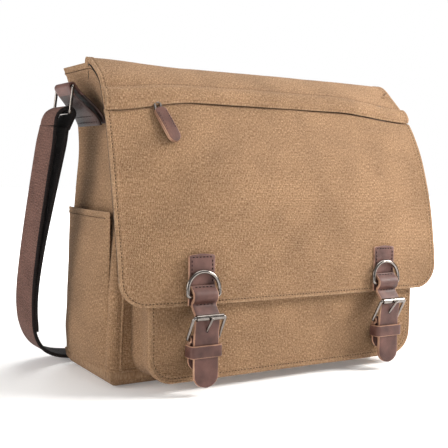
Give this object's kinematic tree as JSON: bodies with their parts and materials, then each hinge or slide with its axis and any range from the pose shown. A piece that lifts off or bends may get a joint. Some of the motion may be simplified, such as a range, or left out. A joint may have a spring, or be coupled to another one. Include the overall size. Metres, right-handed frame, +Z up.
{
  "type": "messenger bag",
  "caption": "Canvas messenger bag with a long front flap, zipped flap pocket, buckled leather straps over hidden snaps, side and front pockets and a shoulder strap.",
  "frame": {"origin": "on the floor under the bag, in the middle of its width, 60 mm in front of its back panel", "axes": "+X across the bag, +Y from the front to the back, +Z up"},
  "size_m": [0.4692, 0.2451, 0.322],
  "materials": {
    "canvas": "khaki brown washed cotton canvas with a melange weave",
    "lining": "black woven polyester lining",
    "padding": "black foam padding under lining cloth",
    "board": "black stiffener board",
    "zip_tape": "dark brown woven zip tape",
    "zip_metal": "dark polished nickel",
    "pull_leather": "reddish brown leather with tan cut edges",
    "leather": "dark plum brown leather with tan cut edges",
    "metal": "polished dark nickel",
    "snap_metal": "plated magnetic snap",
    "webbing": "dark brown grained webbing with a black inner side"
  },
  "bodies": {
    "root": {"back_panel": "canvas", "front_panel": "canvas", "gusset_left": "canvas", "gusset_right": "canvas", "bottom_panel": "canvas", "lining": "lining", "base_board": "board", "laptop_sleeve": "padding", "front_pocket_face": "canvas", "front_pocket_bellows": "canvas", "front_pocket_piping": "canvas", "side_pocket_left": "canvas", "side_pocket_right": "canvas", "back_zip_tape": "zip_tape", "back_zip_chain": "zip_metal", "side_tab_left": "leather", "side_tab_right": "leather", "snap_socket_left": "snap_metal", "snap_socket_right": "snap_metal", "strap_fold_left": "webbing", "strap_fold_right": "webbing", "shoulder_strap": "webbing", "strap_slider": "metal"},
    "flap": {"flap_yoke": "canvas", "flap_front": "canvas", "flap_edge": "canvas", "flap_lining": "lining", "flap_zip_tape": "zip_tape", "flap_zip_chain": "zip_metal", "strap_patch_left": "leather", "billet_left": "leather", "buckle_tab_left": "leather", "keeper_left": "leather", "snap_stud_left": "snap_metal", "strap_patch_right": "leather", "billet_right": "leather", "buckle_tab_right": "leather", "keeper_right": "leather", "snap_stud_right": "snap_metal"},
    "flap_zip": {"flap_zip_slider": "zip_metal"},
    "flap_pull": {"flap_zip_link": "zip_metal", "flap_zip_pull": "pull_leather"},
    "back_zip": {"back_zip_slider": "zip_metal"},
    "back_pull": {"back_zip_link": "zip_metal", "back_zip_pull": "pull_leather"},
    "d_ring_left": {"d_ring_left": "metal"},
    "buckle_left": {"buckle_frame_left": "metal"},
    "roller_left": {"roller_left": "metal"},
    "prong_left": {"prong_left": "metal"},
    "side_ring_left": {"side_ring_left": "metal"},
    "d_ring_right": {"d_ring_right": "metal"},
    "buckle_right": {"buckle_frame_right": "metal"},
    "roller_right": {"roller_right": "metal"},
    "prong_right": {"prong_right": "metal"},
    "side_ring_right": {"side_ring_right": "metal"}
  },
  "joints": [
    {"name": "flap_hinge", "type": "hinge", "parent": "root", "child": "flap", "pos_m": [0, 0.06, 0.3146], "axis": [-1, 0, 0], "range_deg": [0, 130]},
    {"name": "flap_zip_slide", "type": "slide", "parent": "flap", "child": "flap_zip", "axis": [1, 0, 0], "range_m": [-0.012, 0.29]},
    {"name": "flap_pull_swing", "type": "hinge", "parent": "flap_zip", "child": "flap_pull", "pos_m": [-0.14, -0.0623, 0.2807], "axis": [-1, 0, 0], "range_deg": [0, 120]},
    {"name": "back_zip_slide", "type": "slide", "parent": "root", "child": "back_zip", "axis": [1, 0, 0], "range_m": [-0.01, 0.255]},
    {"name": "back_pull_swing", "type": "hinge", "parent": "back_zip", "child": "back_pull", "pos_m": [-0.125, 0.0619, 0.24], "axis": [1, 0, 0], "range_deg": [0, 150]},
    {"name": "d_ring_left_swing", "type": "hinge", "parent": "flap", "child": "d_ring_left", "pos_m": [-0.115, -0.1182, 0.096], "axis": [1, 0, 0], "range_deg": [0, 110]},
    {"name": "buckle_left_tilt", "type": "hinge", "parent": "flap", "child": "buckle_left", "pos_m": [-0.115, -0.1176, 0.055], "axis": [1, 0, 0], "range_deg": [0, 8]},
    {"name": "roller_left_spin", "type": "hinge", "parent": "buckle_left", "child": "roller_left", "pos_m": [-0.115, -0.13, 0.0775], "axis": [1, 0, 0], "continuous": true},
    {"name": "prong_left_lift", "type": "hinge", "parent": "buckle_left", "child": "prong_left", "pos_m": [-0.115, -0.1176, 0.055], "axis": [1, 0, 0], "range_deg": [0, 12]},
    {"name": "side_ring_left_swing", "type": "hinge", "parent": "root", "child": "side_ring_left", "pos_m": [-0.203, 0.022, 0.297], "axis": [0, 1, 0], "range_deg": [-4, 4]},
    {"name": "d_ring_right_swing", "type": "hinge", "parent": "flap", "child": "d_ring_right", "pos_m": [0.115, -0.1182, 0.096], "axis": [1, 0, 0], "range_deg": [0, 110]},
    {"name": "buckle_right_tilt", "type": "hinge", "parent": "flap", "child": "buckle_right", "pos_m": [0.115, -0.1176, 0.055], "axis": [1, 0, 0], "range_deg": [0, 8]},
    {"name": "roller_right_spin", "type": "hinge", "parent": "buckle_right", "child": "roller_right", "pos_m": [0.115, -0.13, 0.0775], "axis": [1, 0, 0], "continuous": true},
    {"name": "prong_right_lift", "type": "hinge", "parent": "buckle_right", "child": "prong_right", "pos_m": [0.115, -0.1176, 0.055], "axis": [1, 0, 0], "range_deg": [0, 12]},
    {"name": "side_ring_right_swing", "type": "hinge", "parent": "root", "child": "side_ring_right", "pos_m": [0.203, 0.022, 0.297], "axis": [0, 1, 0], "range_deg": [-4, 4]}
  ]
}
